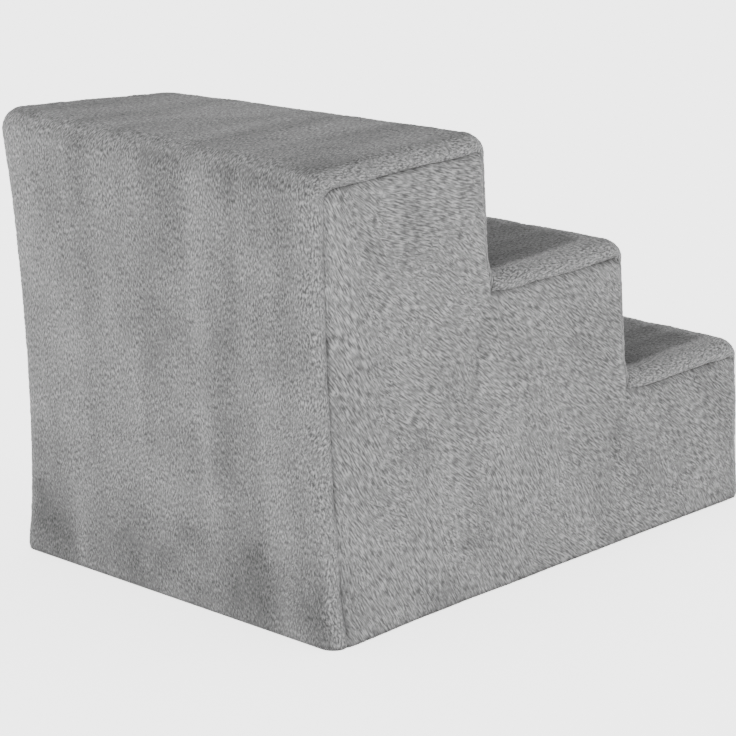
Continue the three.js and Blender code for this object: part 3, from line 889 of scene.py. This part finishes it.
def grip_dots(node, inner):
    """Small rubber domes in a staggered grid on one part of the base, reaching down to the floor."""
    low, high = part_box(node)
    rows = np.arange(low.x + DOT_PITCH, high.x - DOT_PITCH / 2, DOT_PITCH * math.sqrt(3) / 2)
    columns = np.arange(low.y + DOT_PITCH, high.y - DOT_PITCH / 2, DOT_PITCH)
    x, y = np.meshgrid(rows, columns, indexing="ij")
    y = y + DOT_PITCH / 2 * (np.arange(len(rows)) % 2)[:, None] - DOT_PITCH / 4
    apart = outside_zip(x, y)
    edge = np.minimum.reduce([x - low.x, high.x - x, y - low.y, high.y - y])
    keep = (apart < -DOT_MARGIN if inner else apart > DOT_MARGIN) & (edge > 2 * DOT_RADIUS)
    places = follow_plush(np.column_stack([x[keep], y[keep], 0 * x[keep]]))[:, :2]
    dome, triangles = dot_shape()
    vertices = (dome + np.column_stack([places, np.zeros(len(places))])[:, None]).reshape(-1, 3)
    faces = (triangles + len(dome) * np.arange(len(places))[:, None, None]).reshape(-1, 3)
    return vertices, faces


def dot_shape():
    """Points and triangles of one dot, from its root in the cloth down to the floor."""
    angle = 2 * math.pi * np.arange(DOT_SIDES) / DOT_SIDES
    circle = DOT_RADIUS * np.column_stack([np.cos(angle), np.sin(angle)])
    root = BASE_LIFT + DOT_ROOT
    levels = [(1.0, root), (0.92, BASE_LIFT * 0.45), (0.6, BASE_LIFT * 0.1)]
    rings = [np.column_stack([circle * share, np.full(DOT_SIDES, height)]) for share, height in levels]
    index = np.arange(len(levels) * DOT_SIDES).reshape(len(levels), DOT_SIDES)
    around = np.roll(index, -1, axis=1)
    lower, upper = (index[1:], around[1:]), (index[:-1], around[:-1])
    triangles = [np.stack([upper[0], upper[1], lower[1]], axis=-1).reshape(-1, 3)]
    triangles.append(np.stack([upper[0], lower[1], lower[0]], axis=-1).reshape(-1, 3))
    for ring, tip in ((-1, index.size), (0, index.size + 1)):
        triangles.append(np.column_stack([index[ring], around[ring], np.full(DOT_SIDES, tip)]))
    return np.concatenate([*rings, [[0, 0, 0], [0, 0, root]]]), np.concatenate(triangles)


def follow_plush(points):
    """Moves points in plan with the plush above them: fully at the rim, not at all by the zip."""
    moved = points.copy()
    rim = smoothstep(outside_zip(points[:, 0], points[:, 1]), DOT_MARGIN, SIDE_Y - ZIP_SIDE_Y)
    moved[:, :2] += rim[:, None] * (soften(points)[:, :2] - points[:, :2])
    for axis, half in ((0, FRONT_X), (1, SIDE_Y)):
        edge = smoothstep(np.abs(points[:, axis]), half - 20 * MM, half - 6 * MM)
        moved[:, axis] += RIM_GROWTH * edge * np.sign(points[:, axis])
    return moved


def base_cloth(name, node):
    """A base part's cloth from the frame's solid, cut finer and lifted off the floor by its dots."""
    mesh = bmesh.new()
    mesh.from_mesh(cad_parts[node].data)
    bmesh.ops.remove_doubles(mesh, verts=mesh.verts, dist=0.01 * MM)
    low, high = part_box(node)
    for axis in range(2):
        for place in np.arange(low[axis] + BASE_STEP, high[axis] - BASE_STEP / 2, BASE_STEP):
            normal = [0, 0, 0]
            normal[axis] = 1
            point = [place if k == axis else 0 for k in range(3)]
            geometry = mesh.verts[:] + mesh.edges[:] + mesh.faces[:]
            bmesh.ops.bisect_plane(mesh, geom=geometry, plane_co=point, plane_no=normal)
    places = np.array([vert.co for vert in mesh.verts])
    waves = smooth_noise(places[:, 0] / 0.04, places[:, 1] / 0.04, 103)
    for vert, place, wave in zip(mesh.verts, follow_plush(places), waves):
        vert.co = place
        if vert.co.z < BASE_LIFT:
            vert.co.z = BASE_LIFT
        elif vert.co.z < 4 * MM:
            vert.co.z -= BASE_RIPPLE * (1 + wave)
    bmesh.ops.triangulate(mesh, faces=mesh.faces)
    bmesh.ops.recalc_face_normals(mesh, faces=mesh.faces)
    data = bpy.data.meshes.new(name)
    mesh.to_mesh(data)
    mesh.free()
    return add_object(name, data)


def make_base(part, inner, cloth_material, dot_material):
    """The cloth and the dots of the base's panel or border, and the cloth's flat size."""
    node = f"base_{part}"
    cloth = base_cloth(f"base_cloth_{part}", node)
    cloth.data.materials.append(cloth_material)
    dots = mesh_object(f"grip_dots_{part}", *grip_dots(node, inner))
    face_out(dots)
    dots.data.materials.append(dot_material)
    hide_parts(node)
    low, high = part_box(node)
    if inner:
        return cloth, dots, (high.x - low.x, high.y - low.y)
    strip = SIDE_Y - ZIP_SIDE_Y
    return cloth, dots, (strip, 2 * (high.x - low.x) + high.y - low.y - 2 * strip)


# materials
def node_material(name):
    material = bpy.data.materials.new(name)
    material.use_nodes = True
    return material, material.node_tree


def add_node(tree, kind, inputs, output, **settings):
    """Adds a node and gives one of its outputs; each input is a socket to link or a value."""
    node = tree.nodes.new("ShaderNode" + kind)
    for name, value in settings.items():
        setattr(node, name, value)
    set_inputs(tree, node, inputs)
    return node.outputs[output]


def set_inputs(tree, node, inputs):
    for name, value in inputs.items():
        if isinstance(value, bpy.types.NodeSocket):
            tree.links.new(value, node.inputs[name])
        else:
            node.inputs[name].default_value = value


def set_shader(tree, inputs):
    set_inputs(tree, tree.nodes["Principled BSDF"], inputs)


def object_place(tree):
    return add_node(tree, "TexCoord", {}, "Object")


def cloth_place(tree):
    """The mesh's own coordinates across and along its cloth, in metres."""
    return add_node(tree, "UVMap", {}, "UV", uv_map="cloth")


def attribute(tree, name):
    return add_node(tree, "Attribute", {}, "Fac", attribute_name=name)


def noise_at(tree, place, scale, detail=2.0, stretch=(1, 1, 1)):
    placed = add_node(tree, "Mapping", {"Scale": stretch, "Vector": place}, "Vector")
    return add_node(tree, "TexNoise", {"Scale": scale, "Detail": detail, "Vector": placed}, "Fac")


def multiply(tree, a, b):
    inputs = {"Factor": 1.0, "A": a, "B": b}
    return add_node(tree, "Mix", inputs, "Result", data_type="RGBA", blend_type="MULTIPLY")


def math_node(tree, operation, a, b):
    return add_node(tree, "Math", {0: a, 1: b}, "Value", operation=operation)


def relief(tree, height, depth):
    return add_node(tree, "Bump", {"Height": height, "Distance": depth}, "Normal")


def colour_ramp(tree, fac, stops):
    """A colour that follows a value; each stop is a place and a colour."""
    node = tree.nodes.new("ShaderNodeValToRGB")
    elements = node.color_ramp.elements
    while len(elements) < len(stops):
        elements.new(0.5)
    for element, (place, colour) in zip(elements, stops):
        element.position = place
        element.color = (*colour, 1)
    set_inputs(tree, node, {"Fac": fac})
    return node.outputs["Color"]


def grey_ramp(tree, fac, stops):
    return colour_ramp(tree, fac, [(place, (value, value, value)) for place, value in stops])


def streak_noise(tree, place, angle, stretch):
    """Fine noise drawn out along one direction of the cloth."""
    turned = add_node(
        tree, "VectorRotate", {"Vector": place, "Angle": angle}, "Vector", rotation_type="Z_AXIS")
    return noise_at(tree, turned, FIBRE_SCALE, 1.0, (1.0, stretch, 1.0))


def fibre_streaks(tree, cloth, stretch):
    """Fine fibres that follow the mesh's nap angle, from one streak direction to the next."""
    spread = math_node(tree, "MULTIPLY", noise_at(tree, cloth, 220, 1.0), NAP_JITTER)
    nap = math_node(tree, "ADD", attribute(tree, "nap"), spread)
    nap = math_node(tree, "SUBTRACT", nap, NAP_JITTER / 2)
    streaks = streak_noise(tree, cloth, math.radians(NAP_ANGLES[0]), stretch)
    for before, after in zip(NAP_ANGLES, NAP_ANGLES[1:]):
        middle = (before + after) / 2
        low, high = math.radians(middle - NAP_BLEND), math.radians(middle + NAP_BLEND)
        share = add_node(tree, "MapRange", {"Value": nap, "From Min": low, "From Max": high}, "Result")
        turned = streak_noise(tree, cloth, math.radians(after), stretch)
        streaks = add_node(tree, "Mix", {"Factor": share, "A": streaks, "B": turned}, "Result")
    return streaks


def plush_material(name, stretch):
    """Grey plush: tufts from the mesh's pile with painted shade between them, fine fibres along its nap,
    and its brushed tone.
    """
    material, tree = node_material(name)
    cloth = cloth_place(tree)
    streaks = fibre_streaks(tree, cloth, stretch)
    clumps = grey_ramp(tree, noise_at(tree, cloth, 60), [(0.32, 0.6), (0.58, 1.0)])
    streaks = add_node(tree, "Mix", {"Factor": clumps, "A": 0.5, "B": streaks}, "Result")
    patches = noise_at(tree, cloth, 16, 3.0, (1.0, 0.5, 1.0))
    tone = attribute(tree, "tone")
    # Painted shade: the colour darkens where the pile is low, between the tufts.
    colour = grey_ramp(tree, attribute(tree, "pile"), PLUSH_SHADED_BY_PILE)
    colour = multiply(tree, colour, grey_ramp(tree, streaks, PLUSH_BY_FIBRE))
    colour = multiply(tree, colour, grey_ramp(tree, patches, [(0.3, 0.92), (0.7, 1.0)]))
    tone_colour = add_node(tree, "CombineColor", {"Red": tone, "Green": tone, "Blue": tone}, "Color")
    set_shader(tree, {
        "Base Color": multiply(tree, colour, tone_colour),
        "Roughness": 0.9,
        "Specular IOR Level": 0.15,
        "Sheen Weight": 0.12,
        "Sheen Roughness": 0.5,
        "Normal": relief(tree, streaks, 0.8 * MM),
    })
    return material


def foam_material():
    """Cut foam: small open cells."""
    material, tree = node_material("foam")
    cells = add_node(tree, "TexVoronoi", {"Scale": 700, "Vector": object_place(tree)}, "Distance")
    set_shader(tree, {
        "Base Color": colour_ramp(tree, cells, [(0.0, (0.62, 0.57, 0.44)), (1.0, (0.86, 0.82, 0.7))]),
        "Roughness": 0.95,
        "Normal": relief(tree, cells, 0.6 * MM),
    })
    return material


def speckled_material(name, dark, light, scale, rough, depth, stretch=(1, 1, 1), metallic=0.0):
    """A material whose colour, roughness and relief all follow one noise."""
    material, tree = node_material(name)
    grain = noise_at(tree, object_place(tree), scale, stretch=stretch)
    set_shader(tree, {
        "Base Color": colour_ramp(tree, grain, [(0.35, dark), (0.65, light)]),
        "Roughness": grey_ramp(tree, grain, [(0.3, rough[0]), (0.7, rough[1])]),
        "Metallic": metallic,
        "Normal": relief(tree, grain, depth),
    })
    return material


def woven_material(name, dark, light, thread, place_in):
    """A plain weave of two colours; its bands repeat every 2 pi threads."""
    material, tree = node_material(name)
    place = place_in(tree)
    waves = {"Scale": 1 / (20 * thread), "Distortion": 0.4, "Detail Scale": 60, "Vector": place}
    weave = math_node(tree, "MAXIMUM", *[
        add_node(tree, "TexWave", waves, "Fac", bands_direction=axis) for axis in ("X", "Y")])
    height = math_node(tree, "MULTIPLY", weave, noise_at(tree, place, 900))
    set_shader(tree, {
        "Base Color": colour_ramp(tree, height, [(0.0, dark), (0.6, light)]),
        "Roughness": 0.85,
        "Normal": relief(tree, height, 0.3 * MM),
    })
    return material


# stage
def make_floor():
    """A pale floor with a little glow of its own."""
    material, tree = node_material("pale_floor")
    set_shader(tree, {
        "Base Color": (0.92, 0.92, 0.92, 1),
        "Roughness": 0.8,
        "Emission Color": (1, 1, 1, 1),
        "Emission Strength": FLOOR_GLOW,
    })
    corners = [(-1, -1, 0), (1, -1, 0), (1, 1, 0), (-1, 1, 0)]
    floor = mesh_object("floor", FLOOR_HALF * np.array(corners), [[0, 1, 2, 3]])
    floor.data.materials.append(material)


def softbox(name, place, power):
    data = bpy.data.lights.new(name, "AREA")
    data.size = SOFTBOX_SIZE
    data.energy = power
    light = add_object(name, data)
    light.location = place
    light.rotation_euler = (Vector((0, 0, 0.15)) - Vector(place)).to_track_quat("-Z", "Y").to_euler()


def make_lights():
    """Soft studio light: a sky that is brightest low down, a wide overhead light and two softboxes."""
    world = bpy.data.worlds.new("studio")
    world.use_nodes = True
    tree = world.node_tree
    height = add_node(
        tree, "SeparateXYZ", {"Vector": add_node(tree, "TexCoord", {}, "Generated")}, "Z")
    sky = grey_ramp(tree, height, [(0.0, 1.0), (0.25, SKY_DIM), (1.0, SKY_DIM)])
    set_inputs(tree, tree.nodes["Background"], {"Color": sky, "Strength": SKY_STRENGTH})
    bpy.context.scene.world = world
    overhead = bpy.data.lights.new("overhead", "SUN")
    overhead.energy = OVERHEAD_LIGHT
    overhead.angle = math.radians(80)
    add_object("overhead", overhead)
    softbox("rear_softbox", (-2.4, -0.9, 0.9), REAR_LIGHT)
    softbox("side_softbox", (0.2, -2.6, 0.9), SIDE_LIGHT)


make_camera()

band_plush = plush_material("plush_band", 0.4)
side_plush = plush_material("plush_side", 0.17)
panels = {
    "cover_back_top_panel": band_panel("plush_back_top", back_top_stops, (0, 0, 1), BACK_STEP, 11),
    "cover_middle_step_panel": band_panel("plush_middle_step", middle_stops, (0, 1), STEP_STEP, 21),
    "cover_lower_step_panel": band_panel("plush_lower_step", lower_stops, (0, 1), STEP_STEP, 31),
    "cover_side_right": side_panel("plush_side_right", -1, SIDE_STEP, 41),
    "cover_side_left": side_panel("plush_side_left", 1, SIDE_STEP, 51),
}
slabs = [f"soft_foam_{level}" for level in ("lower", "middle", "upper")]
for node, (piece, flat, area) in panels.items():
    piece.data.materials.append(side_plush if "side" in node else band_plush)
    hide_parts(node)
    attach(piece, "stairs")

foam = foam_material()
for index, slab in enumerate(slabs):
    node = slab.replace("soft_foam", "foam") + "_slab"
    piece = foam_slab(slab, node, 71 + index, FOAM_STEP if index else GROOVE_STEP)
    piece.data.materials.append(foam)
    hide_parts(node)
    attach(piece, "stairs")

base_weave = woven_material(
    "base_weave", (0.02, 0.021, 0.023), (0.09, 0.092, 0.098), 0.7 * MM, object_place)
rubber = speckled_material(
    "grip_rubber", (0.02, 0.02, 0.022), (0.035, 0.035, 0.038), 900, (0.45, 0.7), 0.05 * MM)
for part, inner in (("panel", True), ("border", False)):
    cloth, dots, flat = make_base(part, inner, base_weave, rubber)
    for piece in (cloth, dots):
        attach(piece, "stairs")

tape_weave = woven_material(
    "tape_weave", (0.1, 0.1, 0.105), (0.24, 0.24, 0.245), 0.5 * MM, cloth_place)
nylon = speckled_material(
    "coil_nylon", (0.13, 0.13, 0.135), (0.18, 0.18, 0.185), 500, (0.3, 0.45), 0.02 * MM)
for part, sign in (("outer", 1), ("inner", -1)):
    tape, flat = zip_tape(f"zip_weave_{part}", sign)
    tape.data.materials.append(tape_weave)
    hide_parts(f"zip_tape_{part}")
    coil = zip_coil(f"zip_helix_{part}", sign)
    coil.data.materials.append(nylon)
    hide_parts(f"zip_coil_{part}")
    for piece in (tape, coil):
        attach(piece, "stairs")

metal = speckled_material(
    "zip_nickel", (0.5, 0.5, 0.51), (0.66, 0.66, 0.67), 700, (0.22, 0.4), 0.02 * MM, (1, 0.15, 1), 1.0)
for node in ("zip_top_stop_outer", "zip_top_stop_inner", "zip_bottom_stop", "zip_slider", "zip_pull"):
    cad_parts[node].data.materials.clear()
    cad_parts[node].data.materials.append(metal)

make_floor()
make_lights()
